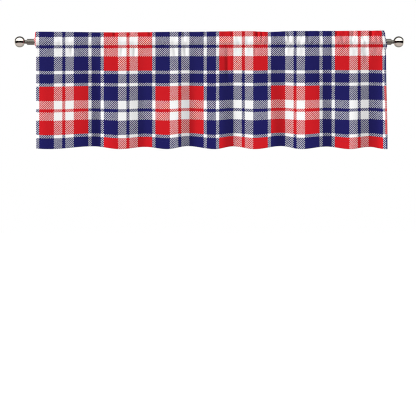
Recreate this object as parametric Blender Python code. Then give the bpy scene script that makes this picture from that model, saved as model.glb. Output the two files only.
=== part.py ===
"""A rod-pocket window valance on its curtain rod.

The cloth is one strip, cut once and folded: a turned-up hem, the front panel, a pocket round the rod, a
flat header above it, and the same header and pocket again behind. A plain round rod runs through the
pocket, and a ball finial closes each end of the rod.

Metres, +Z up. The origin is the middle of the rod's axis, +X runs along the rod and +Y points to the wall.
"""

import math

import bmesh
import bpy
from mathutils import Vector

MM = 0.001

# Rod and finials
ROD_RADIUS = 11.7 * MM
ROD_LENGTH = 1422 * MM
ROD_CHAMFER = 1 * MM
OVERALL_LENGTH = 1524 * MM
BALL_RADIUS = 22 * MM
NECK_RADIUS = 7.2 * MM
NECK_FLANGE_RADIUS = 8.6 * MM
NECK_FLANGE_LENGTH = 2.2 * MM
PIECE_GAP = 0.3 * MM

# Cloth: heights are measured from the rod's axis, up being positive
CLOTH_THICKNESS = 1.2 * MM
LAYER_SPACING = 1.7 * MM
POCKET_CLEARANCE = 0.8 * MM
SEAM_FORWARD = 7 * MM
HEADER_SEAM_HEIGHT = 19 * MM
POCKET_SEAM_HEIGHT = -19 * MM
HEM_HEIGHT = -419.3 * MM
HEM_DEPTH = 30 * MM
SEAM_ALLOWANCE = 6 * MM

# The header's top edge, from left to right
HEADER_TOP = [
    {"x": -676 * MM, "height": 39.5 * MM},
    {"x": -370 * MM, "height": 37 * MM},
    {"x": -100 * MM, "height": 39 * MM},
    {"x": 150 * MM, "height": 41.6 * MM},
    {"x": 235 * MM, "height": 38.8 * MM},
    {"x": 330 * MM, "height": 42.2 * MM},
    {"x": 500 * MM, "height": 42.4 * MM},
    {"x": 695 * MM, "height": 44 * MM},
]

# The cloth's side edges, from the hem up. The pocket's back reaches out past its front on the left.
SIDE_EDGES = [
    {"height": HEM_HEIGHT, "left": -676 * MM, "back_left": -676 * MM, "right": 695.5 * MM},
    {"height": -60 * MM, "left": -677 * MM, "back_left": -677 * MM, "right": 690 * MM},
    {"height": POCKET_SEAM_HEIGHT, "left": -676 * MM, "back_left": -677.5 * MM, "right": 694 * MM},
    {"height": 0.0, "left": -676 * MM, "back_left": -684.5 * MM, "right": 692 * MM},
    {"height": HEADER_SEAM_HEIGHT, "left": -676 * MM, "back_left": -680.5 * MM, "right": 687 * MM},
]

# The panel's folds: where each runs back furthest, how far off the crests beside it are, its depth from
# crest to back, the depth of a narrower crease in its back, and how far to the left it starts at the seam
FOLDS = [
    {"x": -700 * MM, "left": 60 * MM, "right": 65 * MM, "depth": 8 * MM, "crease": 0.0, "lean": 0.0},
    {"x": -425 * MM, "left": 79 * MM, "right": 64 * MM, "depth": 7 * MM, "crease": 5 * MM, "lean": 20 * MM},
    {"x": -250 * MM, "left": 74 * MM, "right": 125 * MM, "depth": 10 * MM, "crease": 2 * MM, "lean": 10 * MM},
    {"x": -56 * MM, "left": 72 * MM, "right": 110 * MM, "depth": 15 * MM, "crease": 2 * MM, "lean": 0.0},
    {"x": 109 * MM, "left": 60 * MM, "right": 150 * MM, "depth": 11 * MM, "crease": 1 * MM, "lean": 38 * MM},
    {"x": 303 * MM, "left": 60 * MM, "right": 110 * MM, "depth": 11 * MM, "crease": 0.5 * MM, "lean": 38 * MM},
    {"x": 485 * MM, "left": 64 * MM, "right": 100 * MM, "depth": 10 * MM, "crease": 1.5 * MM, "lean": 38 * MM},
    {"x": 656 * MM, "left": 98 * MM, "right": 54 * MM, "depth": 19 * MM, "crease": 0.0, "lean": 0.0},
]
CREASE_WIDTH = 19 * MM
CREST_FORWARD = 6 * MM

# How much of the hem's fold depth shows at the pocket's seam and at the header's top
SEAM_FOLD_SHARE = 0.1
HEADER_FOLD_SHARE = 0.2
FOLD_GROWTH = 1.6

# The hem is drawn up more than the panel above it
EVEN_LIFT_SHARE = 0.55
HEM_LIFT_POWER = 8

# Where the folds draw the hem up, how far to each side, and by how much
HEM_LIFTS = [
    {"x": -700 * MM, "left": 60 * MM, "right": 65 * MM, "lift": 4 * MM},
    {"x": -450 * MM, "left": 175 * MM, "right": 100 * MM, "lift": 11 * MM},
    {"x": -250 * MM, "left": 95 * MM, "right": 87 * MM, "lift": 9 * MM},
    {"x": -82 * MM, "left": 83 * MM, "right": 105 * MM, "lift": 12 * MM},
    {"x": 95 * MM, "left": 72 * MM, "right": 83 * MM, "lift": 11 * MM},
    {"x": 282 * MM, "left": 104 * MM, "right": 78 * MM, "lift": 12 * MM},
    {"x": 460 * MM, "left": 100 * MM, "right": 88 * MM, "lift": 10 * MM},
    {"x": 626 * MM, "left": 78 * MM, "right": 66 * MM, "lift": 9 * MM},
]

# Mesh density: sides round the rod, steps over a ball, columns of cloth along the rod, rows in each stretch
# of the strip, and the widest step round the rod
ROD_SIDES = 32
BALL_STEPS = 12
CLOTH_COLUMNS = 90
HEM_ROWS = 1
PANEL_ROWS = 6
TURN_ROWS = 2
POCKET_STEP = math.radians(24)
SHARP_ANGLE = math.radians(40)


def clear_scene():
    for obj in list(bpy.data.objects):
        bpy.data.objects.remove(obj)


def make_material(name, colour, roughness, metallic=0.0):
    material = bpy.data.materials.new(name)
    material.use_nodes = True
    shader = material.node_tree.nodes["Principled BSDF"]
    shader.inputs["Base Color"].default_value = (*colour, 1.0)
    shader.inputs["Roughness"].default_value = roughness
    shader.inputs["Metallic"].default_value = metallic
    return material


def add_object(name, bm, material):
    """Makes a smooth-shaded mesh object from bm, with its faces turned out."""
    bmesh.ops.recalc_face_normals(bm, faces=bm.faces)
    mesh = bpy.data.meshes.new(name)
    bm.to_mesh(mesh)
    bm.free()
    mesh.materials.append(material)
    mesh.shade_smooth()
    mesh.set_sharp_from_angle(angle=SHARP_ANGLE)
    obj = bpy.data.objects.new(name, mesh)
    bpy.context.scene.collection.objects.link(obj)
    return obj


def turned_about_x(profile):
    """A closed solid of revolution about the X axis, from (x, radius) points given from end to end. An end
    that lies on the axis becomes a pole, and any other end a flat disc."""
    bm = bmesh.new()
    rings = []
    for x, radius in profile:
        if radius == 0:
            rings.append([bm.verts.new((x, 0, 0))] * ROD_SIDES)
            continue
        angles = [math.tau * i / ROD_SIDES for i in range(ROD_SIDES)]
        rings.append([bm.verts.new((x, radius * math.cos(a), radius * math.sin(a))) for a in angles])
    for lower, upper in zip(rings, rings[1:]):
        for i in range(ROD_SIDES):
            j = (i + 1) % ROD_SIDES
            corners = [lower[i], lower[j], upper[j], upper[i]]
            bm.faces.new(list(dict.fromkeys(corners)))
    for ring in (rings[0], rings[-1]):
        if ring[0] is not ring[1]:
            bm.faces.new(ring)
    return bm


def build_rod(material):
    half = ROD_LENGTH / 2
    profile = [
        (-half, ROD_RADIUS - ROD_CHAMFER),
        (-half + ROD_CHAMFER, ROD_RADIUS),
        (half - ROD_CHAMFER, ROD_RADIUS),
        (half, ROD_RADIUS - ROD_CHAMFER),
    ]
    return add_object("rod", turned_about_x(profile), material)


def finial_profile():
    """(x, radius) from the rod's right end outwards: a thin flange, a plain neck and the ball."""
    start = ROD_LENGTH / 2 + PIECE_GAP
    ball_centre = OVERALL_LENGTH / 2 - BALL_RADIUS
    neck_angle = math.asin(NECK_RADIUS / BALL_RADIUS)
    profile = [
        (start, NECK_FLANGE_RADIUS),
        (start + NECK_FLANGE_LENGTH, NECK_FLANGE_RADIUS),
        (start + NECK_FLANGE_LENGTH, NECK_RADIUS),
    ]
    for i in range(BALL_STEPS):
        angle = neck_angle + (math.pi - neck_angle) * i / BALL_STEPS
        profile.append((ball_centre - BALL_RADIUS * math.cos(angle), BALL_RADIUS * math.sin(angle)))
    profile.append((ball_centre + BALL_RADIUS, 0))
    return profile


def build_finial(name, side, material):
    """side is -1 for the rod's left end and 1 for its right end."""
    profile = [(side * x, radius) for x, radius in finial_profile()]
    return add_object(name, turned_about_x(profile), material)


def from_table(rows, place, position, column):
    """The value of a column at a position, eased from row to row. place names the rows' own position."""
    if position <= rows[0][place]:
        return rows[0][column]
    for lower, upper in zip(rows, rows[1:]):
        if position <= upper[place]:
            share = (position - lower[place]) / (upper[place] - lower[place])
            eased = share * share * (3 - 2 * share)
            return lower[column] + (upper[column] - lower[column]) * eased
    return rows[-1][column]


def nearness(row, x):
    """1 at the place that a table's row names, falling smoothly to 0 at its two reaches."""
    offset = x - row["x"]
    reach = row["left"] if offset < 0 else row["right"]
    if abs(offset) >= reach:
        return 0.0
    return 0.5 + 0.5 * math.cos(math.pi * offset / reach)


def share_below_seam(height):
    """0 at the pocket's seam and above, 1 at the hem."""
    share = (POCKET_SEAM_HEIGHT - height) / (POCKET_SEAM_HEIGHT - HEM_HEIGHT)
    return min(max(share, 0.0), 1.0)


def fold_depth(x, height):
    """How far the folds lie behind the seam's plane at x, before depth_share. The crests between them lie in
    front of it."""
    total = -CREST_FORWARD
    for fold in FOLDS:
        along_fold = x + fold["lean"] * (1 - share_below_seam(height)) ** 2
        total += fold["depth"] * nearness(fold, along_fold)
        total += fold["crease"] * math.exp(-(((along_fold - fold["x"]) / CREASE_WIDTH) ** 2))
    return total


def hem_lift(x):
    return sum(row["lift"] * nearness(row, x) for row in HEM_LIFTS)


def depth_share(height):
    """The share of the hem's fold depth that shows at a height. It is 0 where the pocket holds the rod."""
    if height > HEADER_SEAM_HEIGHT:
        header = HEADER_TOP[-1]["height"] - HEADER_SEAM_HEIGHT
        return HEADER_FOLD_SHARE * (height - HEADER_SEAM_HEIGHT) / header
    if height > POCKET_SEAM_HEIGHT:
        below_rod = (height + ROD_RADIUS) / (POCKET_SEAM_HEIGHT + ROD_RADIUS)
        return SEAM_FOLD_SHARE * max(below_rod, 0.0)
    grown = 1 - (1 - share_below_seam(height)) ** FOLD_GROWTH
    return SEAM_FOLD_SHARE + (1 - SEAM_FOLD_SHARE) * grown


def lift_share(height):
    """The share of the hem's lift that shows at a height."""
    share = share_below_seam(height)
    return EVEN_LIFT_SHARE * share + (1 - EVEN_LIFT_SHARE) * share ** HEM_LIFT_POWER


def between(start, end, rows):
    """rows points from start towards end, without start and with end."""
    return [start.lerp(end, i / rows) for i in range(1, rows + 1)]


def arc(centre, radius, from_angle, to_angle, rows):
    """Points on an arc in the (Y, Z) plane, without its first and with its last."""
    points = []
    for i in range(1, rows + 1):
        angle = from_angle + (to_angle - from_angle) * i / rows
        points.append(centre + radius * Vector((math.cos(angle), math.sin(angle))))
    return points


def tangent_angle(point, radius):
    """The angle at which a straight cloth from point meets a circle round the rod, on the +Y side."""
    towards = math.atan2(point.y, point.x)
    spread = math.acos(radius / point.length)
    return towards + spread if point.y < 0 else towards - spread


def pocket_layer(seam_y, side):
    """One layer of the pocket in (Y, Z), from the header's seam round the rod down to the pocket's seam. side
    is -1 in front of the rod and 1 behind it."""
    radius = ROD_RADIUS + POCKET_CLEARANCE + CLOTH_THICKNESS / 2
    header_seam = Vector((side * seam_y, HEADER_SEAM_HEIGHT))
    seam = Vector((side * seam_y, POCKET_SEAM_HEIGHT))
    upper = tangent_angle(header_seam, radius)
    lower = tangent_angle(seam, radius)
    meets = radius * Vector((math.cos(upper), math.sin(upper)))
    rows = math.ceil((upper - lower) / POCKET_STEP)
    points = [header_seam, meets, *arc(Vector((0, 0)), radius, upper, lower, rows), seam]
    return [Vector((side * point.x, point.y)) for point in points]


def strip_section(header_top):
    """The folded strip's middle line before its waves, as (Y, Z) points with True where they are behind the
    rod. It runs from the hem's turned edge down, up the front, over the header and down behind."""
    half = LAYER_SPACING / 2
    front_y = -SEAM_FORWARD - half
    back_y = -SEAM_FORWARD + half
    top = header_top - half - CLOTH_THICKNESS / 2
    bottom = HEM_HEIGHT + half + CLOTH_THICKNESS / 2
    seam_end = POCKET_SEAM_HEIGHT - SEAM_ALLOWANCE

    front = [Vector((back_y, bottom + HEM_DEPTH))]
    front += between(front[-1], Vector((back_y, bottom)), HEM_ROWS)
    front += arc(Vector((-SEAM_FORWARD, bottom)), half, 0, -math.pi, TURN_ROWS)
    front += between(front[-1], Vector((front_y, bottom + HEM_DEPTH)), HEM_ROWS)
    front += between(front[-1], Vector((front_y, seam_end)), PANEL_ROWS)
    front += [*reversed(pocket_layer(front_y, -1)), Vector((front_y, top))]
    back = arc(Vector((-SEAM_FORWARD, top)), half, math.pi, 0, TURN_ROWS)
    back += [*pocket_layer(back_y, 1), Vector((back_y, seam_end))]
    return [(point, False) for point in front] + [(point, True) for point in back]


def cloth_middle():
    """The strip's middle surface as columns of points, one column for each place along the rod."""
    columns = []
    for i in range(CLOTH_COLUMNS + 1):
        along = i / CLOTH_COLUMNS
        hem_x = SIDE_EDGES[0]["left"] + (SIDE_EDGES[0]["right"] - SIDE_EDGES[0]["left"]) * along
        column = []
        for point, is_back in strip_section(from_table(HEADER_TOP, "x", hem_x, "height")):
            height = point.y
            left = from_table(SIDE_EDGES, "height", height, "back_left" if is_back else "left")
            right = from_table(SIDE_EDGES, "height", height, "right")
            x = left + (right - left) * along
            y = point.x + fold_depth(x, height) * depth_share(height)
            z = height + hem_lift(x) * lift_share(height)
            column.append(Vector((x, y, z)))
        columns.append(column)
    return columns


def middle_normal(columns, i, j):
    """The middle surface's normal at column i and row j, from the points beside it."""
    last_column = len(columns) - 1
    last_row = len(columns[0]) - 1
    across = columns[min(i + 1, last_column)][j] - columns[max(i - 1, 0)][j]
    before = columns[i][j] - columns[i][max(j - 1, 0)]
    after = columns[i][min(j + 1, last_row)] - columns[i][j]
    return across.cross(before.normalized() + after.normalized()).normalized()


def build_cloth(material):
    """The strip as a solid: its middle surface thickened to both sides, with closed edges."""
    columns = cloth_middle()
    rows = len(columns[0])
    bm = bmesh.new()
    outer, inner = [], []
    for side, direction in ((outer, 1), (inner, -1)):
        for i, column in enumerate(columns):
            offsets = [middle_normal(columns, i, j) * direction * CLOTH_THICKNESS / 2 for j in range(rows)]
            side.append([bm.verts.new(point + offset) for point, offset in zip(column, offsets)])
    for i in range(CLOTH_COLUMNS):
        for j in range(rows - 1):
            bm.faces.new((outer[i][j], outer[i + 1][j], outer[i + 1][j + 1], outer[i][j + 1]))
            bm.faces.new((inner[i][j], inner[i][j + 1], inner[i + 1][j + 1], inner[i + 1][j]))
        for j in (0, rows - 1):
            bm.faces.new((outer[i][j], outer[i + 1][j], inner[i + 1][j], inner[i][j]))
    for i in (0, CLOTH_COLUMNS):
        for j in range(rows - 1):
            bm.faces.new((outer[i][j], outer[i][j + 1], inner[i][j + 1], inner[i][j]))
    return add_object("cloth", bm, material)


def main():
    clear_scene()
    printed_cloth = make_material("printed_cloth", (0.02, 0.016, 0.12), 0.85)
    brushed_nickel = make_material("brushed_nickel", (0.55, 0.53, 0.5), 0.3, metallic=1.0)
    polished_nickel = make_material("polished_nickel", (0.62, 0.6, 0.57), 0.12, metallic=1.0)
    build_cloth(printed_cloth)
    build_rod(brushed_nickel)
    build_finial("finial_left", -1, polished_nickel)
    build_finial("finial_right", 1, polished_nickel)


main()
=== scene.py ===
import math

import bmesh
import bpy
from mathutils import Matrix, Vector


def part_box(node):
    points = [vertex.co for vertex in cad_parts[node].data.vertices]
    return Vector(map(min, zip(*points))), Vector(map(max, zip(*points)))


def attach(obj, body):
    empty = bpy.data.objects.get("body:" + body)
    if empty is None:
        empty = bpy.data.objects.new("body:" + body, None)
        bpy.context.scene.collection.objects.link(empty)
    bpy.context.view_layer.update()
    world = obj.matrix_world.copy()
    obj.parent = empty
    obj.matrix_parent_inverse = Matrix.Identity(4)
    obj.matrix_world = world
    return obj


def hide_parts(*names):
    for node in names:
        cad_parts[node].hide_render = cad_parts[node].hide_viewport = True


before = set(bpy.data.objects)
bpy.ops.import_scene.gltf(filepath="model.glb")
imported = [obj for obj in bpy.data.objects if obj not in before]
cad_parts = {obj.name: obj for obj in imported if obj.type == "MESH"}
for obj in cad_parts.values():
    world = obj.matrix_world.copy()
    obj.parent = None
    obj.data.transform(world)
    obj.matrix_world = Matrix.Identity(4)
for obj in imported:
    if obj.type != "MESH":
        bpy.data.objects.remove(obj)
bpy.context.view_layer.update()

MM = 0.001


def in_metres(rows):
    """A table of lengths that are given in millimetres."""
    return [{name: length * MM for name, length in row.items()} for row in rows]


# Sizes that the solids give
ROD_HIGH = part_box("rod")[1]
ROD_RADIUS = ROD_HIGH.z
ROD_HALF_LENGTH = ROD_HIGH.x
HALF_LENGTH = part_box("finial_right")[1].x
BALL_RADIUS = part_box("finial_right")[1].z

# Finial neck: it flares over the length of its cove, by NECK_FLARE, where it meets the ball
NECK_RADIUS = 7.2 * MM
NECK_FLANGE_RADIUS = 8.6 * MM
NECK_FLANGE_LENGTH = 2.2 * MM
NECK_COVE = 1.5 * MM
NECK_FLARE = 0.4 * NECK_COVE
EDGE_ROUND = 0.5 * MM
PIECE_GAP = 0.3 * MM
BALL_CENTRE = HALF_LENGTH - BALL_RADIUS
NECK_ANGLE = math.asin((NECK_RADIUS + NECK_FLARE) / BALL_RADIUS)
BALL_START = BALL_CENTRE - BALL_RADIUS * math.cos(NECK_ANGLE)

# Mesh density of the turned metal, and the angle from which an edge between its faces is sharp
TURNED_SIDES = 96
EDGE_STEPS = 4
BALL_STEPS = 48
SHARP_ANGLE = math.radians(50)

# Cloth: heights are measured from the rod's axis, up being positive. The seams lie SEAM_FORWARD in front
# of that axis, and their stitches draw each layer in by SEAM_DIP.
CLOTH_THICKNESS = 0.7 * MM
LAYER_SPACING = 1.7 * MM
POCKET_CLEARANCE = 1.4 * MM
POCKET_RADIUS = ROD_RADIUS + POCKET_CLEARANCE
SEAM_FORWARD = 7 * MM
HEADER_SEAM_HEIGHT = 19 * MM
POCKET_SEAM_HEIGHT = -19 * MM
HEM_HEIGHT = -419.3 * MM
HEM_DEPTH = 30 * MM
SEAM_ALLOWANCE = 6 * MM
SEAM_DIP = 0.3 * MM

# The header's top edge, from left to right
HEADER_TOP = in_metres([
    {"x": -676, "height": 39.5},
    {"x": -370, "height": 37},
    {"x": -100, "height": 39},
    {"x": 150, "height": 41.6},
    {"x": 235, "height": 38.8},
    {"x": 330, "height": 42.2},
    {"x": 500, "height": 42.4},
    {"x": 695, "height": 44},
])

# The cloth's side edges, how far in they lie at each height, and how far the left side hem has sprung from
# lying flat behind (180 degrees) towards straight out (0)
LEFT_EDGE = -676 * MM
RIGHT_EDGE = 695.5 * MM
SIDE_EDGES = [
    {"height": HEM_HEIGHT, "left_in": 1 * MM, "right_in": 0.0, "angle": 180},
    {"height": -60 * MM, "left_in": 1 * MM, "right_in": 5.5 * MM, "angle": 180},
    {"height": -32 * MM, "left_in": 1.2 * MM, "right_in": 7.5 * MM, "angle": 180},
    {"height": POCKET_SEAM_HEIGHT, "left_in": 0.5 * MM, "right_in": 1.5 * MM, "angle": 84},
    {"height": -8 * MM, "left_in": 0.0, "right_in": 2.5 * MM, "angle": 40},
    {"height": 8 * MM, "left_in": 0.0, "right_in": 5.5 * MM, "angle": 22},
    {"height": HEADER_SEAM_HEIGHT, "left_in": 0.0, "right_in": 8 * MM, "angle": 62},
    {"height": 32 * MM, "left_in": 0.5 * MM, "right_in": 9 * MM, "angle": 66},
    {"height": 44 * MM, "left_in": 1 * MM, "right_in": 13 * MM, "angle": 70},
]
EDGE_REACH = 70 * MM
SIDE_HEM_WIDTH = 9 * MM
SIDE_HEM_BEND = 0.7 * LAYER_SPACING
SIDE_HEM_STEPS = 5
SIDE_HEM_STEP_GROWTH = 1.5

# The panel's folds: where each runs back furthest, how far off the crests beside it are, its depth from
# crest to back, the depth of a narrower crease in its back, and how far to the left it starts at the
# seam. Only a share of the depth shows at the seam and in the header.
FOLDS = in_metres([
    {"x": -700, "left": 60, "right": 65, "depth": 8, "crease": 0.0, "lean": 0.0},
    {"x": -425, "left": 79, "right": 64, "depth": 7, "crease": 5, "lean": 20},
    {"x": -250, "left": 74, "right": 125, "depth": 10, "crease": 2, "lean": 10},
    {"x": -56, "left": 72, "right": 110, "depth": 15, "crease": 2, "lean": 0.0},
    {"x": 109, "left": 60, "right": 150, "depth": 11, "crease": 1, "lean": 38},
    {"x": 303, "left": 60, "right": 110, "depth": 11, "crease": 0.5, "lean": 38},
    {"x": 485, "left": 64, "right": 100, "depth": 10, "crease": 1.5, "lean": 38},
    {"x": 656, "left": 98, "right": 54, "depth": 19, "crease": 0.0, "lean": 0.0},
])
CREASE_WIDTH = 19 * MM
CREST_FORWARD = 6 * MM
SEAM_FOLD_SHARE = 0.1
HEADER_FOLD_SHARE = 0.2
FOLD_GROWTH = 1.6
EVEN_LIFT_SHARE = 0.55
HEM_LIFT_POWER = 8

# Where the folds draw the hem up, how far to each side, and by how much
HEM_LIFTS = in_metres([
    {"x": -700, "left": 60, "right": 65, "lift": 4},
    {"x": -450, "left": 175, "right": 100, "lift": 11},
    {"x": -250, "left": 95, "right": 87, "lift": 9},
    {"x": -82, "left": 83, "right": 105, "lift": 12},
    {"x": 95, "left": 72, "right": 83, "lift": 11},
    {"x": 282, "left": 104, "right": 78, "lift": 12},
    {"x": 460, "left": 100, "right": 88, "lift": 10},
    {"x": 626, "left": 78, "right": 66, "lift": 9},
])

# Small puckers where the cloth is bunched on the rod. Each is a narrow valley: its place, its top and bottom,
# how far it leans to the right on its way down, its half width and its depth. In front of the rod it lies
# between two soft swells instead, SWELL_WIDTH times as wide, that keep it off the rod. This fades out over
# HOLD_FADE past the rod. The pocket's back follows a pucker only within SEAM_FADE of a seam.
PUCKERS = in_metres([
    {"x": -366, "top": 50, "bottom": 14, "lean": -4, "width": 6, "depth": 6.3},
    {"x": -323, "top": 50, "bottom": 24, "lean": 0, "width": 4, "depth": 3.6},
    {"x": -308, "top": 50, "bottom": 24, "lean": 0, "width": 4, "depth": 3.6},
    {"x": -232, "top": 50, "bottom": 22, "lean": 2, "width": 5, "depth": 4.8},
    {"x": -101, "top": 50, "bottom": -8, "lean": 4, "width": 5, "depth": 4.8},
    {"x": -14, "top": 50, "bottom": 26, "lean": 0, "width": 4.5, "depth": 3.6},
    {"x": 92, "top": 50, "bottom": -8, "lean": -2, "width": 5, "depth": 4.2},
    {"x": 187, "top": 50, "bottom": -10, "lean": 3, "width": 4.5, "depth": 5},
    {"x": 206, "top": 50, "bottom": -8, "lean": 0, "width": 4.5, "depth": 5},
    {"x": 230, "top": 50, "bottom": 32, "lean": 0, "width": 4.5, "depth": 3.6},
    {"x": 308, "top": 50, "bottom": -8, "lean": 6, "width": 5, "depth": 4.8},
    {"x": 384, "top": 50, "bottom": -6, "lean": 4, "width": 5, "depth": 4.8},
    {"x": 498, "top": 50, "bottom": 22, "lean": 0, "width": 5, "depth": 4.5},
    {"x": 567, "top": 50, "bottom": -4, "lean": -12, "width": 5, "depth": 4.8},
    {"x": 634, "top": 50, "bottom": -6, "lean": -2, "width": 6.5, "depth": 7},
    {"x": -510, "top": 18, "bottom": -10, "lean": 0, "width": 5, "depth": 3.4},
    {"x": 288, "top": 18, "bottom": -8, "lean": 0, "width": 5, "depth": 3.9},
    {"x": 523, "top": 16, "bottom": -8, "lean": 0, "width": 5, "depth": 3.9},
    {"x": 600, "top": 20, "bottom": -6, "lean": 14, "width": 5, "depth": 4.2},
    {"x": 655, "top": 18, "bottom": -8, "lean": 0, "width": 5, "depth": 4.2},
    {"x": -585, "top": -14, "bottom": -36, "lean": 12, "width": 6, "depth": 2.4},
    {"x": -536, "top": -16, "bottom": -54, "lean": 0, "width": 5, "depth": 2.6},
    {"x": -399, "top": -16, "bottom": -50, "lean": 1, "width": 5, "depth": 3},
    {"x": -341, "top": -18, "bottom": -54, "lean": 0, "width": 5, "depth": 2.6},
    {"x": -291, "top": -16, "bottom": -62, "lean": 0, "width": 5, "depth": 3.4},
    {"x": -140, "top": -16, "bottom": -60, "lean": 10, "width": 5, "depth": 3},
    {"x": -93, "top": -16, "bottom": -58, "lean": 2, "width": 5, "depth": 3},
    {"x": 70, "top": -14, "bottom": -150, "lean": 4, "width": 7.5, "depth": 4.6},
    {"x": 133, "top": -16, "bottom": -52, "lean": 0, "width": 5, "depth": 2.6},
    {"x": 180, "top": -16, "bottom": -52, "lean": 0, "width": 5, "depth": 3.2},
    {"x": 296, "top": -16, "bottom": -50, "lean": 0, "width": 5, "depth": 3},
    {"x": 484, "top": -20, "bottom": -80, "lean": -4, "width": 8, "depth": 2.6},
    {"x": 610, "top": -18, "bottom": -90, "lean": 6, "width": 9, "depth": 3},
])
SWELL_WIDTH = 3.0
HELD_SWELL = 0.9
HOLD_FADE = 12 * MM
SEAM_FADE = 8 * MM

# Soft ripples in the header and pocket, which fade out below them and are stronger to the right
RIPPLES = [
    {"length": 17 * MM, "slant": 0.3, "depth": 0.32 * MM},
    {"length": 26 * MM, "slant": -0.45, "depth": 0.4 * MM},
    {"length": 41 * MM, "slant": 0.2, "depth": 0.5 * MM},
]
RIPPLE_BOTTOM = -75 * MM
RIPPLE_LEAST = 0.5

# Mesh density of the cloth
COLUMN_SPACING = 3 * MM
ROW_SPACING = 4.5 * MM
PANEL_ROW_SPACING = 10 * MM
POCKET_ROW_DENSITY = 1.5
TURN_ROWS = 4

# The plaid, in steps of its hatching: a repeat is two square blocks and the narrow stripes between them,
# and is the same across and down. PRINT_LEFT and PRINT_AT_HEADER_SEAM say where in it the cloth's left
# edge and its header's seam lie. The print climbs to the right by PRINT_SLOPE, and the two draws pull it
# in near the side edges. FLAT_WIDTH_HEIGHT is where the cloth's width is measured along its folds.
PITCH_ACROSS = 8.139 * MM
PITCH_DOWN = 8.075 * MM
REPEAT = 56
WHITE_STRIPES = [(7, 11), (12.5, 16.5), (23.5, 25), (29.5, 31), (38, 42), (43.5, 47.5), (54.5, 56)]
FIRST_BLOCK = (0, 23.5)
SECOND_BLOCK = (31, 54.5)
PRINT_LEFT = -1.57
LEFT_EDGE_DRAW = 0.14
RIGHT_EDGE_DRAW = 0.12
HATCH_WHITE_SHARE = 0.25
PRINT_AT_HEADER_SEAM = 6.9
PRINT_SLOPE = 0.0029
FLAT_WIDTH_HEIGHT = -320 * MM

# Stitches
STITCH_PITCH = 3.4 * MM
STITCH_LENGTH = 2.6 * MM
STITCH_RADIUS = 0.25 * MM
STITCH_SIDES = 6
STITCH_RAISE = 0.4 * STITCH_RADIUS
HEM_STITCH_INSET = 0.3 * MM

# Colours as linear values
NAVY = (0.0125, 0.0115, 0.100)
RED = (0.575, 0.0110, 0.0165)
WHITE = (0.885, 0.885, 0.88)
PURE_WHITE = (1.0, 1.0, 1.0)
THREAD_HIGHLIGHT = (0.03, 0.028, 0.15)
REVERSE_PALENESS = 0.10

# Printed cotton and its thread. The twill is counted in threads to a step of the hatching.
CLOTH_ROUGHNESS = 0.9
CLOTH_SHINE = 0.12
CLOTH_SHEEN = 0.03
CLOTH_MOTTLE_SCALE = 420.0
CLOTH_DARKEST = 0.93
MOTTLE_DETAIL = 3
MOTTLE_RANGE = (0.3, 0.7)
TWILL_THREADS = 11.0
PICK_SHARE = 0.5
WEAVE_STRENGTH = 0.25
WEAVE_DEPTH = 0.08 * MM
THREAD_ROUGHNESS = 0.6
THREAD_TWIST_SCALE = 900.0

# Nickel. grain is how fine the grain is across the rod, and GRAIN_ALONG_SHARE is its share along the rod.
# The grain varies the roughness between two shares of it.
SATIN_NICKEL = {
    "colour": (0.21, 0.2, 0.185),
    "roughness": 0.48,
    "grain": 2400.0,
    "grain_depth": 0.05 * MM,
}
POLISHED_NICKEL = {
    "colour": (0.62, 0.59, 0.56),
    "roughness": 0.09,
    "grain": 300.0,
    "grain_depth": 0.01 * MM,
}
GRAIN_ALONG_SHARE = 0.02
GRAIN_DETAIL = 4
GRAIN_STRENGTH = 0.2
SMOOTHEST_SHARE = 0.75
ROUGHEST_SHARE = 1.3

# The studio as linear colours: its soft light, and what metal sees of it
AMBIENT = (0.27, 0.27, 0.275)
REFLECTED_FRONT = (2.2, 2.2, 2.1)
REFLECTED_BEHIND = (0.10, 0.10, 0.10)
REFLECTED_BAND = (0.008, 0.007, 0.006)
REFLECTED_ASIDE = (1.3, 1.3, 1.25)
REFLECTED_FLOOR = (0.82, 0.74, 0.70)
REFLECTED_FLOOR_BEHIND = (0.38, 0.38, 0.35)

# Where the studio that metal sees changes, as the start and end of a smooth step in a direction's Y for
# the first two and in its Z for the others
STUDIO_FRONT_STEP = (0.05, -0.12)
STUDIO_ASIDE_STEP = (0.15, 0.45)
STUDIO_OVERHEAD_STEP = (0.30, 0.36)
STUDIO_FLOOR_STEP = (-0.33, -0.40)

# Soft lights from far off: a strong one from the left in front, a weaker one from the right, and one behind
# for the back. across is the angle to the right of straight in front, up is the height, and width is how
# wide a light looks, all in degrees.
SUNS = [
    {"name": "key", "across": -56, "up": 14, "width": 20, "strength": 3.86},
    {"name": "fill", "across": 38, "up": 20, "width": 40, "strength": 0.45},
    {"name": "behind", "across": 160, "up": 30, "width": 30, "strength": 2.2},
]

# View: the picture is as wide as this at the rod
PICTURE_WIDTH = 1625 * MM
CAMERA_DISTANCE = 7.0
CAMERA_X = -4.7 * MM
CAMERA_HEIGHT = -648.8 * MM
CAMERA_REACH = 200
SENSOR_WIDTH = 36.0
PIXEL_FILTER_WIDTH = 1.2

# Floor, in metres
FLOOR_HEIGHT = -1.62
FLOOR_FRONT = -3.4
FLOOR_BACK = 60.0
FLOOR_HALF_WIDTH = 40.0
FLOOR_COLOUR = (0.9, 0.9, 0.9)
FLOOR_ROUGHNESS = 0.9
FLOOR_GLOW = 0.45


def from_table(rows, place, position, column):
    """The value of a column at a position, eased from row to row. place names the rows' own position."""
    if position <= rows[0][place]:
        return rows[0][column]
    for lower, upper in zip(rows, rows[1:]):
        if position <= upper[place]:
            share = (position - lower[place]) / (upper[place] - lower[place])
            eased = share * share * (3 - 2 * share)
            return lower[column] + (upper[column] - lower[column]) * eased
    return rows[-1][column]


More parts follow.
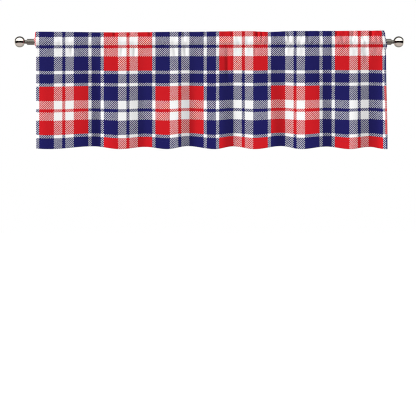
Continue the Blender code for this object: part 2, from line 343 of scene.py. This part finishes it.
def nearness(row, x):
    """1 at the place that a table's row names, falling smoothly to 0 at its two reaches."""
    offset = x - row["x"]
    reach = row["left"] if offset < 0 else row["right"]
    if abs(offset) >= reach:
        return 0.0
    return 0.5 + 0.5 * math.cos(math.pi * offset / reach)


def share_below_seam(height):
    """0 at the pocket's seam and above, 1 at the hem."""
    share = (POCKET_SEAM_HEIGHT - height) / (POCKET_SEAM_HEIGHT - HEM_HEIGHT)
    return min(max(share, 0.0), 1.0)


def fold_depth(x, height):
    """How far the folds lie behind the seam's plane at x, before depth_share. The crests between them lie in
    front of it."""
    total = -CREST_FORWARD
    for fold in FOLDS:
        along_fold = x + fold["lean"] * (1 - share_below_seam(height)) ** 2
        total += fold["depth"] * nearness(fold, along_fold)
        total += fold["crease"] * math.exp(-(((along_fold - fold["x"]) / CREASE_WIDTH) ** 2))
    return total


def hem_lift(x):
    return sum(row["lift"] * nearness(row, x) for row in HEM_LIFTS)


def depth_share(height):
    """The share of the hem's fold depth that shows at a height. It is 0 where the pocket holds the rod."""
    if height > HEADER_SEAM_HEIGHT:
        header = HEADER_TOP[-1]["height"] - HEADER_SEAM_HEIGHT
        return HEADER_FOLD_SHARE * (height - HEADER_SEAM_HEIGHT) / header
    if height > POCKET_SEAM_HEIGHT:
        below_rod = (height + ROD_RADIUS) / (POCKET_SEAM_HEIGHT + ROD_RADIUS)
        return SEAM_FOLD_SHARE * max(below_rod, 0.0)
    grown = 1 - (1 - share_below_seam(height)) ** FOLD_GROWTH
    return SEAM_FOLD_SHARE + (1 - SEAM_FOLD_SHARE) * grown


def lift_share(height):
    """The share of the hem's lift that shows at a height."""
    share = share_below_seam(height)
    return EVEN_LIFT_SHARE * share + (1 - EVEN_LIFT_SHARE) * share ** HEM_LIFT_POWER


def ripple_swell(x, height):
    """How far the ripples push the cloth's front forward at a place."""
    fade = (height - RIPPLE_BOTTOM) / (POCKET_SEAM_HEIGHT - RIPPLE_BOTTOM)
    strength = RIPPLE_LEAST + (x - LEFT_EDGE) / (RIGHT_EDGE - LEFT_EDGE)
    total = 0.0
    for ripple in RIPPLES:
        turns = (x + ripple["slant"] * height) / ripple["length"]
        total += ripple["depth"] * (1 + math.sin(math.tau * turns))
    return total * strength * min(max(fade, 0.0), 1.0)


def pucker_swell(x, height):
    """How far the puckers push the cloth's front forward at a place."""
    held = HELD_SWELL * min(max(1 - (abs(height) - ROD_RADIUS) / HOLD_FADE, 0.0), 1.0)
    total = 0.0
    for pucker in PUCKERS:
        length = pucker["top"] - pucker["bottom"]
        down = (pucker["top"] - height) / length
        if not 0 < down < 1:
            continue
        offset = (x - pucker["x"] - pucker["lean"] * down) / pucker["width"]
        valley = math.exp(-offset * offset)
        swell = math.exp(-((offset / SWELL_WIDTH) ** 2))
        total += pucker["depth"] * math.sin(math.pi * down) ** 0.5 * (held * swell - valley)
    return total


def between(start, end, spacing=ROW_SPACING):
    """Evenly spaced points from start towards end, without start and with end."""
    rows = max(1, math.ceil((end - start).length / spacing))
    return [start.lerp(end, i / rows) for i in range(1, rows + 1)]


def arc(centre, radius, from_angle, to_angle, rows):
    """Points on an arc in the (Y, Z) plane, without its first and with its last."""
    points = []
    for i in range(1, rows + 1):
        angle = from_angle + (to_angle - from_angle) * i / rows
        points.append(centre + radius * Vector((math.cos(angle), math.sin(angle))))
    return points


def tangent_angle(point, radius):
    """The angle at which a straight cloth from point meets a circle round the rod, on the +Y side."""
    towards = math.atan2(point.y, point.x)
    spread = math.acos(radius / point.length)
    return towards + spread if point.y < 0 else towards - spread


def pocket_layer(seam_y, side):
    """One layer of the pocket in (Y, Z), from the header's seam round the rod down to the pocket's seam. side
    is -1 in front of the rod and 1 behind it."""
    header_seam = Vector((side * seam_y, HEADER_SEAM_HEIGHT))
    seam = Vector((side * seam_y, POCKET_SEAM_HEIGHT))
    upper = tangent_angle(header_seam, POCKET_RADIUS)
    lower = tangent_angle(seam, POCKET_RADIUS)
    meets = POCKET_RADIUS * Vector((math.cos(upper), math.sin(upper)))
    rows = math.ceil((upper - lower) * POCKET_RADIUS / ROW_SPACING * POCKET_ROW_DENSITY)
    points = [header_seam, *between(header_seam, meets)]
    points += arc(Vector((0, 0)), POCKET_RADIUS, upper, lower, rows)
    points += between(points[-1], seam)
    return [Vector((side * point.x, point.y)) for point in points]


def strip_section(header_top):
    """The folded strip's middle line before its waves, as three runs of (Y, Z) points: behind the hem, up the
    front, and behind the rod."""
    half = LAYER_SPACING / 2
    front_y = -SEAM_FORWARD - half
    back_y = -SEAM_FORWARD + half
    top = header_top - half - CLOTH_THICKNESS / 2
    bottom = HEM_HEIGHT + half + CLOTH_THICKNESS / 2
    seam_end = POCKET_SEAM_HEIGHT - SEAM_ALLOWANCE

    hem = [Vector((back_y, bottom + HEM_DEPTH))]
    hem += between(hem[-1], Vector((back_y, bottom)))
    turned = arc(Vector((-SEAM_FORWARD, bottom)), half, 0, -math.pi, TURN_ROWS)
    hem += turned[:-1]
    front = [turned[-1]]
    front += between(front[-1], Vector((front_y, bottom + HEM_DEPTH)))
    front += between(front[-1], Vector((front_y, seam_end)), PANEL_ROW_SPACING)
    front += reversed(pocket_layer(front_y, -1))
    header_rows = math.ceil((HEADER_TOP[-1]["height"] - HEADER_SEAM_HEIGHT) / ROW_SPACING)
    header_start = front[-1]
    front += [header_start.lerp(Vector((front_y, top)), i / header_rows) for i in range(1, header_rows + 1)]
    back = arc(Vector((-SEAM_FORWARD, top)), half, math.pi, 0, TURN_ROWS)
    header_end = Vector((back_y, HEADER_SEAM_HEIGHT))
    back += [back[-1].lerp(header_end, i / header_rows) for i in range(1, header_rows)]
    back += [*pocket_layer(back_y, 1), Vector((back_y, seam_end))]
    return hem, front, back


def cloth_x(along, height):
    """How far along the rod a share of the cloth's width lies. Only its ends follow the side edges."""
    x = LEFT_EDGE + (RIGHT_EDGE - LEFT_EDGE) * along
    near_left = max(1 - (x - LEFT_EDGE) / EDGE_REACH, 0.0) ** 2
    near_right = max(1 - (RIGHT_EDGE - x) / EDGE_REACH, 0.0) ** 2
    x += from_table(SIDE_EDGES, "height", height, "left_in") * near_left
    x -= from_table(SIDE_EDGES, "height", height, "right_in") * near_right
    return x


def cloth_point(along, point, is_back):
    """Where a (Y, Z) point of the section hangs, at a share along the cloth's width."""
    height = point.y
    x = cloth_x(along, height)
    y = point.x + fold_depth(x, height) * depth_share(height)
    inside_pocket = (HEADER_SEAM_HEIGHT - abs(height)) / SEAM_FADE
    follows = 1 - min(max(inside_pocket, 0.0), 1.0) if is_back else 1.0
    y -= (pucker_swell(x, height) + ripple_swell(x, height)) * follows
    if height in (HEADER_SEAM_HEIGHT, POCKET_SEAM_HEIGHT):
        y += -SEAM_DIP if is_back else SEAM_DIP
    return Vector((x, y, height + hem_lift(x) * lift_share(height)))


def flat_places(shares):
    """The cloth's flat distance from its left edge at each share along it, measured along its folds."""
    point = Vector((0, FLAT_WIDTH_HEIGHT))
    places = [0.0]
    before = cloth_point(shares[0], point, False)
    for share in shares[1:]:
        after = cloth_point(share, point, False)
        places.append(places[-1] + math.hypot(after.x - before.x, after.y - before.y))
        before = after
    return places


def print_down(x, height):
    """Where the plaid has got to at a height on the front, in steps of its hatching."""
    rise = PRINT_SLOPE * (x - LEFT_EDGE)
    return PRINT_AT_HEADER_SEAM + (HEADER_SEAM_HEIGHT + rise - height) / PITCH_DOWN


def run_lengths(points):
    lengths = [0.0]
    for before, after in zip(points, points[1:]):
        lengths.append(lengths[-1] + (after - before).length)
    return lengths


def cloth_column(along, across):
    """The points of one column of cloth with their places in the plaid, as (position, (across, down))."""
    hem_x = cloth_x(along, HEM_HEIGHT)
    hem, front, back = strip_section(from_table(HEADER_TOP, "x", hem_x, "height"))
    column = []
    hem_lengths = run_lengths([*hem, front[0]])
    for point, length in zip(hem, hem_lengths):
        down = print_down(hem_x, front[0].y) + (hem_lengths[-1] - length) / PITCH_DOWN
        column.append((cloth_point(along, point, True), (across, down)))
    for point in front:
        column.append((cloth_point(along, point, False), (across, print_down(hem_x, point.y))))
    for point, length in zip(back, run_lengths([front[-1], *back])[1:]):
        down = print_down(hem_x, front[-1].y) - length / PITCH_DOWN
        column.append((cloth_point(along, point, True), (across, down)))
    return column


def side_hem_offset(run, degrees):
    """How far the side hem's cloth lies outside and behind the edge, at a run round it. degrees is 180 where
    it is turned flat behind the panel, and 0 where it stands straight out."""
    turn = math.radians(degrees)
    turned = turn * min(run / SIDE_HEM_BEND, 1.0)
    if turn == 0 or turned == 0:
        return run, 0.0
    radius = SIDE_HEM_BEND / turn
    straight = max(run - SIDE_HEM_BEND, 0.0)
    outside = radius * math.sin(turned) + straight * math.cos(turn)
    behind = radius * (1 - math.cos(turned)) + straight * math.sin(turn)
    return outside, behind


def add_side_hem(bm, uv_layer, edge, side, rows):
    """Turns the cloth under along one side edge. edge is that side's column, as (vertex, print, height)."""
    lines = [[(vertex, place) for vertex, place, height in edge[rows]]]
    for step in range(1, SIDE_HEM_STEPS + 1):
        run = SIDE_HEM_WIDTH * (step / SIDE_HEM_STEPS) ** SIDE_HEM_STEP_GROWTH
        line = []
        for vertex, (across, down), height in edge[rows]:
            degrees = from_table(SIDE_EDGES, "height", height, "angle") if side < 0 else 180
            outside, behind = side_hem_offset(run, degrees)
            position = vertex.co + Vector((side * outside, behind, 0))
            line.append((bm.verts.new(position), (across + side * run / PITCH_ACROSS, down)))
        lines.append(line)
    for inner, outer in zip(lines, lines[1:]):
        for j in range(len(inner) - 1):
            corners = [inner[j], outer[j], outer[j + 1], inner[j + 1]]
            add_printed_face(bm, uv_layer, corners if side > 0 else corners[::-1])


def add_printed_face(bm, uv_layer, corners):
    """A face whose corners are (vertex, (across, down)). The plaid's map is in repeats."""
    face = bm.faces.new([vertex for vertex, place in corners])
    face.smooth = True
    for loop, (vertex, (across, down)) in zip(face.loops, corners):
        loop[uv_layer].uv = (across / REPEAT, down / REPEAT)


def build_cloth():
    """The strip as a thin sheet on its solid's folds, with the puckers and side hems added."""
    columns = math.ceil((RIGHT_EDGE - LEFT_EDGE) / COLUMN_SPACING)
    shares = [i / columns for i in range(columns + 1)]
    bm = bmesh.new()
    uv_layer = bm.loops.layers.uv.new("plaid")
    grid = []
    places = flat_places(shares)
    for share, flat in zip(shares, places):
        left_draw = LEFT_EDGE_DRAW * max(1 - flat / EDGE_REACH, 0.0) ** 2
        right_draw = RIGHT_EDGE_DRAW * max(1 - (places[-1] - flat) / EDGE_REACH, 0.0) ** 2
        column = cloth_column(share, PRINT_LEFT + flat / PITCH_ACROSS + left_draw - right_draw)
        grid.append([(bm.verts.new(position), place) for position, place in column])
    for left, right in zip(grid, grid[1:]):
        for j in range(len(left) - 1):
            add_printed_face(bm, uv_layer, [left[j], right[j], right[j + 1], left[j + 1]])

    hem, front, back = strip_section(HEADER_TOP[0]["height"])
    heights = [point.y for point in [*hem, *front, *back]]
    panel = [len(hem) + i for i, point in enumerate(front) if point.y > HEM_HEIGHT + HEM_DEPTH + ROW_SPACING]
    below_seam = [j for j in panel if heights[j] < POCKET_SEAM_HEIGHT]
    for column, side, rows in ((grid[0], -1, panel), (grid[-1], 1, below_seam)):
        edge = [(vertex, place, heights[j]) for j, (vertex, place) in enumerate(column)]
        add_side_hem(bm, uv_layer, edge, side, slice(rows[0], rows[-1] + 1))

    mesh = bpy.data.meshes.new("valance_cloth")
    bm.to_mesh(mesh)
    bm.free()
    mesh.materials.append(cloth_material("plaid_face", 0.0))
    mesh.materials.append(cloth_material("plaid_reverse", REVERSE_PALENESS))
    cloth = link(bpy.data.objects.new("valance_cloth", mesh))
    thicken = cloth.modifiers.new("thickness", "SOLIDIFY")
    thicken.thickness = CLOTH_THICKNESS
    thicken.offset = 0
    thicken.material_offset = 1
    return cloth


def build_stitching():
    """Rows of short straight stitches on both faces of each seam."""
    half = LAYER_SPACING / 2
    hem_line = HEM_HEIGHT + HEM_DEPTH - HEM_STITCH_INSET
    outside = CLOTH_THICKNESS / 2 + STITCH_RAISE
    width = RIGHT_EDGE - LEFT_EDGE
    count = math.floor(width / STITCH_PITCH)
    bm = bmesh.new()
    for height in (HEADER_SEAM_HEIGHT, POCKET_SEAM_HEIGHT, hem_line):
        for side, is_back in ((-1, False), (1, True)):
            point = Vector((-SEAM_FORWARD + side * half, height))
            for i in range(count):
                start = (i + 0.5) * STITCH_PITCH / width
                end = start + STITCH_LENGTH / width
                ends = [cloth_point(share, point, is_back) for share in (start, end)]
                add_stitch(bm, [place + Vector((0, side * outside, 0)) for place in ends])
    mesh = bpy.data.meshes.new("stitching")
    bm.to_mesh(mesh)
    bm.free()
    mesh.shade_smooth()
    mesh.materials.append(thread_material())
    return link(bpy.data.objects.new("stitching", mesh))


def add_stitch(bm, ends):
    """A thread between two points, thickest in the middle."""
    start, end = ends
    middle = (start + end) / 2
    tips = [bm.verts.new(start), bm.verts.new(end)]
    ring = []
    for i in range(STITCH_SIDES):
        angle = math.tau * i / STITCH_SIDES
        offset = Vector((0, STITCH_RADIUS * math.cos(angle), STITCH_RADIUS * math.sin(angle)))
        ring.append(bm.verts.new(middle + offset))
    for i in range(STITCH_SIDES):
        following = ring[(i + 1) % STITCH_SIDES]
        bm.faces.new((tips[0], following, ring[i]))
        bm.faces.new((tips[1], ring[i], following))


def turned_piece(name, profile, side, material):
    """A piece turned about the X axis, from (x, radius) points. side is -1 to mirror it to the left."""
    bm = bmesh.new()
    rings = []
    for x, radius in profile:
        if radius == 0:
            rings.append([bm.verts.new((side * x, 0, 0))] * TURNED_SIDES)
            continue
        angles = [math.tau * i / TURNED_SIDES for i in range(TURNED_SIDES)]
        rings.append([bm.verts.new((side * x, radius * math.cos(a), radius * math.sin(a))) for a in angles])
    for lower, upper in zip(rings, rings[1:]):
        for i in range(TURNED_SIDES):
            j = (i + 1) % TURNED_SIDES
            bm.faces.new(list(dict.fromkeys([lower[i], lower[j], upper[j], upper[i]])))
    bmesh.ops.recalc_face_normals(bm, faces=bm.faces)
    mesh = bpy.data.meshes.new(name)
    bm.to_mesh(mesh)
    bm.free()
    mesh.shade_smooth()
    mesh.set_sharp_from_angle(angle=SHARP_ANGLE)
    mesh.materials.append(material)
    return link(bpy.data.objects.new(name, mesh))


def rounded(x, radius, outwards):
    """A rounded corner of a turned profile. outwards is 1 where the profile's end face lies at larger x."""
    points = []
    for i in range(EDGE_STEPS + 1):
        angle = math.pi / 2 * i / EDGE_STEPS
        inset = EDGE_ROUND * (1 - math.sin(angle))
        drop = EDGE_ROUND * (1 - math.cos(angle))
        points.append((x - outwards * inset, radius - drop))
    return points if outwards > 0 else points[::-1]


def build_rod(material):
    end = [*rounded(ROD_HALF_LENGTH, ROD_RADIUS, 1), (ROD_HALF_LENGTH, 0)]
    start = [(-x, radius) for x, radius in reversed(end)]
    return turned_piece("curtain_rod", [*start, *end], 1, material)


def finial_profile():
    """(x, radius) from the rod's end outwards: a flange, a neck that flares into the ball, and the ball."""
    start = ROD_HALF_LENGTH + PIECE_GAP
    flange_end = start + NECK_FLANGE_LENGTH
    profile = [(start, 0)]
    profile += rounded(start, NECK_FLANGE_RADIUS, -1)
    profile += rounded(flange_end, NECK_FLANGE_RADIUS, 1)
    profile += [(flange_end, NECK_RADIUS), (BALL_START - NECK_COVE, NECK_RADIUS)]
    for i in range(BALL_STEPS):
        angle = NECK_ANGLE + (math.pi - NECK_ANGLE) * i / BALL_STEPS
        profile.append((BALL_CENTRE - BALL_RADIUS * math.cos(angle), BALL_RADIUS * math.sin(angle)))
    profile.append((HALF_LENGTH, 0))
    return profile


def build_finial(name, side, polished, satin):
    """A polished ball on a satin neck. side is -1 for the rod's left end and 1 for its right end."""
    finial = turned_piece(name, finial_profile(), side, polished)
    finial.data.materials.append(satin)
    for face in finial.data.polygons:
        if abs(face.center.x) < BALL_START:
            face.material_index = 1
    return finial


def link(obj):
    bpy.context.scene.collection.objects.link(obj)
    return obj


def new_material(name, roughness, metallic=0.0):
    """A material with a Principled shader, returned with its node tree and that shader."""
    material = bpy.data.materials.new(name)
    material.use_nodes = True
    shader = material.node_tree.nodes["Principled BSDF"]
    shader.inputs["Roughness"].default_value = roughness
    shader.inputs["Metallic"].default_value = metallic
    return material, material.node_tree, shader


def calculate(tree, operation, *values):
    """A Math node on numbers or sockets, as its output socket."""
    node = tree.nodes.new("ShaderNodeMath")
    node.operation = operation
    for socket, value in zip(node.inputs, values):
        if isinstance(value, (int, float)):
            socket.default_value = value
        else:
            tree.links.new(value, socket)
    return node.outputs[0]


def smooth_step(tree, value, start, end):
    """0 at start, rising smoothly to 1 at end."""
    node = tree.nodes.new("ShaderNodeMapRange")
    node.interpolation_type = "SMOOTHSTEP"
    node.inputs["From Min"].default_value = start
    node.inputs["From Max"].default_value = end
    tree.links.new(value, node.inputs["Value"])
    return node.outputs["Result"]


def within(tree, place, bounds):
    """1 where place lies between two bounds, otherwise 0."""
    above = calculate(tree, "GREATER_THAN", place, bounds[0])
    below = calculate(tree, "LESS_THAN", place, bounds[1])
    return calculate(tree, "MULTIPLY", above, below)


def blended(tree, factor, first, second):
    """A colour mixed from first to second, each a socket or a linear colour."""
    node = tree.nodes.new("ShaderNodeMix")
    node.data_type = "RGBA"
    if isinstance(factor, float):
        node.inputs["Factor"].default_value = factor
    else:
        tree.links.new(factor, node.inputs["Factor"])
    for socket, value in ((node.inputs["A"], first), (node.inputs["B"], second)):
        if isinstance(value, tuple):
            socket.default_value = (*value, 1.0)
        else:
            tree.links.new(value, socket)
    return node.outputs["Result"]


def stripes(tree, place):
    """Along one direction of the plaid: whether a place is in a white stripe, a block, and a second block."""
    repeat_place = calculate(tree, "FLOORED_MODULO", place, REPEAT)
    white = 0.0
    for stripe in WHITE_STRIPES:
        white = calculate(tree, "ADD", within(tree, repeat_place, stripe), white)
    second = within(tree, repeat_place, SECOND_BLOCK)
    block = calculate(tree, "ADD", within(tree, repeat_place, FIRST_BLOCK), second)
    return white, block, second


def plaid_colour(tree, across, down):
    """Coloured stripes cross as solid squares and white ones as white squares. Where one of each crosses,
    a share of the diagonal hatching is white. Squares where a first and a second block cross are red."""
    white_across, block_across, second_across = stripes(tree, across)
    white_down, block_down, second_down = stripes(tree, down)
    crossed = calculate(tree, "FRACT", calculate(tree, "ADD", across, down))
    hatch = calculate(tree, "LESS_THAN", crossed, HATCH_WHITE_SHARE)
    both_white = calculate(tree, "MULTIPLY", white_across, white_down)
    one_white = calculate(tree, "ABSOLUTE", calculate(tree, "SUBTRACT", white_across, white_down))
    whiteness = calculate(tree, "MULTIPLY_ADD", one_white, hatch, both_white)
    blocks = calculate(tree, "MULTIPLY", block_across, block_down)
    differ = calculate(tree, "ABSOLUTE", calculate(tree, "SUBTRACT", second_across, second_down))
    is_red = calculate(tree, "MULTIPLY", blocks, differ)
    return blended(tree, whiteness, blended(tree, is_red, NAVY, RED), WHITE)


def plaid_places(tree):
    """The plaid map as a socket, and its two directions, across and down, in steps of the hatching."""
    uv = tree.nodes.new("ShaderNodeUVMap")
    uv.uv_map = "plaid"
    split = tree.nodes.new("ShaderNodeSeparateXYZ")
    tree.links.new(uv.outputs["UV"], split.inputs["Vector"])
    across = calculate(tree, "MULTIPLY", split.outputs["X"], REPEAT)
    down = calculate(tree, "MULTIPLY", split.outputs["Y"], REPEAT)
    return uv.outputs["UV"], across, down


def add_weave(tree, shader, across, down):
    """A fine twill: raised threads on a steep diagonal, with a slight unevenness."""
    warp = calculate(tree, "MULTIPLY", across, TWILL_THREADS)
    slant = calculate(tree, "MULTIPLY_ADD", down, TWILL_THREADS * 2, warp)
    twill = calculate(tree, "SINE", calculate(tree, "MULTIPLY", slant, math.tau))
    picks = calculate(tree, "SINE", calculate(tree, "MULTIPLY", across, TWILL_THREADS * 2 * math.tau))
    height = calculate(tree, "MULTIPLY_ADD", picks, PICK_SHARE, twill)
    bump = tree.nodes.new("ShaderNodeBump")
    bump.inputs["Strength"].default_value = WEAVE_STRENGTH
    bump.inputs["Distance"].default_value = WEAVE_DEPTH
    tree.links.new(height, bump.inputs["Height"])
    tree.links.new(bump.outputs["Normal"], shader.inputs["Normal"])


def uneven(tree, coordinates, colour, scale, darkest):
    """A colour that a soft noise darkens here and there, down to a share of itself."""
    noise = tree.nodes.new("ShaderNodeTexNoise")
    noise.inputs["Scale"].default_value = scale
    noise.inputs["Detail"].default_value = MOTTLE_DETAIL
    tree.links.new(coordinates, noise.inputs["Vector"])
    spread = tree.nodes.new("ShaderNodeMapRange")
    spread.inputs["From Min"].default_value = MOTTLE_RANGE[0]
    spread.inputs["From Max"].default_value = MOTTLE_RANGE[1]
    spread.inputs["To Min"].default_value = darkest
    spread.inputs["To Max"].default_value = 1.0
    tree.links.new(noise.outputs["Fac"], spread.inputs["Value"])
    scaled = tree.nodes.new("ShaderNodeVectorMath")
    scaled.operation = "SCALE"
    tree.links.new(colour, scaled.inputs[0])
    tree.links.new(spread.outputs["Result"], scaled.inputs["Scale"])
    return scaled.outputs["Vector"]


def cloth_material(name, paleness):
    """Printed cotton twill. The reverse shows the same plaid a little paler."""
    material, tree, shader = new_material(name, CLOTH_ROUGHNESS)
    coordinates, across, down = plaid_places(tree)
    colour = plaid_colour(tree, across, down)
    if paleness:
        colour = blended(tree, paleness, colour, WHITE)
    colour = uneven(tree, coordinates, colour, CLOTH_MOTTLE_SCALE, CLOTH_DARKEST)
    tree.links.new(colour, shader.inputs["Base Color"])
    shader.inputs["Specular IOR Level"].default_value = CLOTH_SHINE
    shader.inputs["Sheen Weight"].default_value = CLOTH_SHEEN
    add_weave(tree, shader, across, down)
    return material


def thread_material():
    """Navy sewing thread, twisted."""
    material, tree, shader = new_material("navy_thread", THREAD_ROUGHNESS)
    position = tree.nodes.new("ShaderNodeTexCoord").outputs["Object"]
    twist = tree.nodes.new("ShaderNodeTexWave")
    twist.bands_direction = "DIAGONAL"
    twist.inputs["Scale"].default_value = THREAD_TWIST_SCALE
    tree.links.new(position, twist.inputs["Vector"])
    colour = blended(tree, twist.outputs["Fac"], NAVY, THREAD_HIGHLIGHT)
    tree.links.new(colour, shader.inputs["Base Color"])
    return material


def metal_material(name, colour, roughness, grain, grain_depth):
    """Nickel with a fine grain drawn along the rod's length. grain is its stretch across."""
    material, tree, shader = new_material(name, roughness, metallic=1.0)
    shader.inputs["Base Color"].default_value = (*colour, 1.0)
    position = tree.nodes.new("ShaderNodeTexCoord").outputs["Object"]
    stretch = tree.nodes.new("ShaderNodeMapping")
    stretch.inputs["Scale"].default_value = (grain * GRAIN_ALONG_SHARE, grain, grain)
    tree.links.new(position, stretch.inputs["Vector"])
    noise = tree.nodes.new("ShaderNodeTexNoise")
    noise.inputs["Scale"].default_value = 1.0
    noise.inputs["Detail"].default_value = GRAIN_DETAIL
    tree.links.new(stretch.outputs["Vector"], noise.inputs["Vector"])
    spread = tree.nodes.new("ShaderNodeMapRange")
    spread.inputs["To Min"].default_value = roughness * SMOOTHEST_SHARE
    spread.inputs["To Max"].default_value = roughness * ROUGHEST_SHARE
    tree.links.new(noise.outputs["Fac"], spread.inputs["Value"])
    tree.links.new(spread.outputs["Result"], shader.inputs["Roughness"])
    bump = tree.nodes.new("ShaderNodeBump")
    bump.inputs["Strength"].default_value = GRAIN_STRENGTH
    bump.inputs["Distance"].default_value = grain_depth
    tree.links.new(noise.outputs["Fac"], bump.inputs["Height"])
    tree.links.new(bump.outputs["Normal"], shader.inputs["Normal"])
    return material


def floor_material():
    """A pale floor that is as bright as the background."""
    material, _, shader = new_material("pale_floor", FLOOR_ROUGHNESS)
    shader.inputs["Base Color"].default_value = (*FLOOR_COLOUR, 1.0)
    shader.inputs["Specular IOR Level"].default_value = 0.0
    shader.inputs["Emission Color"].default_value = (*PURE_WHITE, 1.0)
    shader.inputs["Emission Strength"].default_value = FLOOR_GLOW
    return material


def build_floor():
    corners = [
        (-FLOOR_HALF_WIDTH, FLOOR_FRONT),
        (FLOOR_HALF_WIDTH, FLOOR_FRONT),
        (FLOOR_HALF_WIDTH, FLOOR_BACK),
        (-FLOOR_HALF_WIDTH, FLOOR_BACK),
    ]
    mesh = bpy.data.meshes.new("floor")
    mesh.from_pydata([(x, y, FLOOR_HEIGHT) for x, y in corners], [], [(0, 1, 2, 3)])
    mesh.materials.append(floor_material())
    floor = link(bpy.data.objects.new("floor", mesh))
    floor.visible_diffuse = False
    floor.visible_glossy = False


def add_sun(name, across, up, width, strength):
    """A soft light from far off, as one row of SUNS describes it."""
    light = bpy.data.lights.new(name, "SUN")
    light.energy = strength
    light.angle = math.radians(width)
    lamp = link(bpy.data.objects.new(name, light))
    lamp.rotation_euler = (math.radians(90 - up), 0, math.radians(across))
    lamp.visible_glossy = False


def add_world():
    """A white background. The light that it gives is a softer grey, and metal sees a bright studio in
    front of it, a dark one behind, a band at eye level that is black in front and pale behind, and a warm
    floor."""
    world = bpy.data.worlds.new("studio")
    bpy.context.scene.world = world
    world.use_nodes = True
    tree = world.node_tree
    tree.nodes.clear()
    direction = tree.nodes.new("ShaderNodeTexCoord").outputs["Generated"]
    split = tree.nodes.new("ShaderNodeSeparateXYZ")
    tree.links.new(direction, split.inputs["Vector"])
    up = split.outputs["Z"]
    in_front = smooth_step(tree, split.outputs["Y"], *STUDIO_FRONT_STEP)
    overhead = blended(tree, in_front, REFLECTED_BEHIND, REFLECTED_FRONT)
    aside = smooth_step(tree, split.outputs["Y"], *STUDIO_ASIDE_STEP)
    band = blended(tree, aside, REFLECTED_BAND, REFLECTED_ASIDE)
    floor = blended(tree, aside, REFLECTED_FLOOR, REFLECTED_FLOOR_BEHIND)
    studio = blended(tree, smooth_step(tree, up, *STUDIO_OVERHEAD_STEP), band, overhead)
    studio = blended(tree, smooth_step(tree, up, *STUDIO_FLOOR_STEP), studio, floor)
    rays = tree.nodes.new("ShaderNodeLightPath").outputs
    colour = blended(tree, rays["Is Glossy Ray"], AMBIENT, studio)
    colour = blended(tree, rays["Is Camera Ray"], colour, PURE_WHITE)
    background = tree.nodes.new("ShaderNodeBackground")
    tree.links.new(colour, background.inputs["Color"])
    output = tree.nodes.new("ShaderNodeOutputWorld")
    tree.links.new(background.outputs["Background"], output.inputs["Surface"])


def add_camera():
    """A level view along +Y through a long lens, centred as the picture is."""
    camera = bpy.data.cameras.new("camera")
    camera.sensor_width = SENSOR_WIDTH
    camera.lens = SENSOR_WIDTH * CAMERA_DISTANCE / PICTURE_WIDTH
    camera.clip_end = CAMERA_REACH
    viewer = link(bpy.data.objects.new("camera", camera))
    viewer.location = (CAMERA_X, -CAMERA_DISTANCE, CAMERA_HEIGHT)
    viewer.rotation_euler = (math.pi / 2, 0, 0)
    bpy.context.scene.camera = viewer


def main():
    scene = bpy.context.scene
    scene.view_settings.view_transform = "Standard"
    scene.cycles.denoising_prefilter = "NONE"
    scene.cycles.filter_width = PIXEL_FILTER_WIDTH
    add_camera()
    add_world()
    for sun in SUNS:
        add_sun(**sun)
    build_floor()

    cloth = build_cloth()
    stitching = build_stitching()
    satin = metal_material("satin_nickel", **SATIN_NICKEL)
    polished = metal_material("polished_nickel", **POLISHED_NICKEL)
    rod = build_rod(satin)
    finials = [
        build_finial("ball_finial_left", -1, polished, satin),
        build_finial("ball_finial_right", 1, polished, satin),
    ]

    for piece in (cloth, stitching, rod, *finials):
        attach(piece, "root")
    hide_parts("cloth")
    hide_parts("rod")
    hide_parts("finial_left")
    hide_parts("finial_right")


main()
